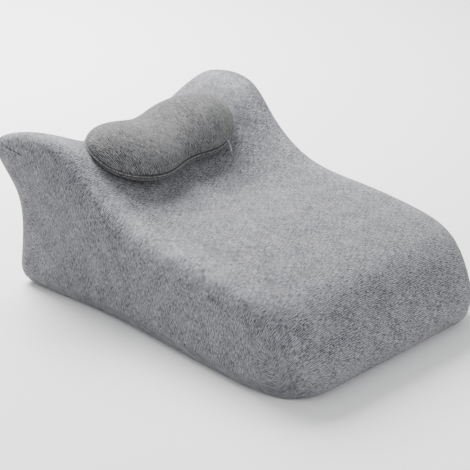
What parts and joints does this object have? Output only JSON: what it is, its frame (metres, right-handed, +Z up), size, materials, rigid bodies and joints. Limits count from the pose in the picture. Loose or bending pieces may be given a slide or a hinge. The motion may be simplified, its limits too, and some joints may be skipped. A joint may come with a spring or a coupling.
{
  "type": "wedge pillow with head cushion",
  "caption": "Foam wedge pillow in a heather grey knit cover, dished between two horns at its high end, with a small kidney-shaped head cushion lying on its slope.",
  "frame": {"origin": "centre of the bounding box in plan, on the floor under the wedge", "axes": "+Y points to the high end with the two horns, -Y to the low nose, +X to the right of someone who looks from the nose to the horns, +Z up"},
  "size_m": [0.5678, 0.8164, 0.3181],
  "materials": {
    "knit_wedge": "heather grey jersey knit, soft and matt",
    "knit_head": "heather grey jersey knit, soft and matt",
    "zip_tape": "dark woven tape",
    "pull_grey": "pale grey, satin"
  },
  "bodies": {
    "root": {"wedge_cushion": "knit_wedge", "head_cushion": "knit_head", "head_zip": "zip_tape", "zip_pull": "pull_grey"}
  },
  "joints": []
}
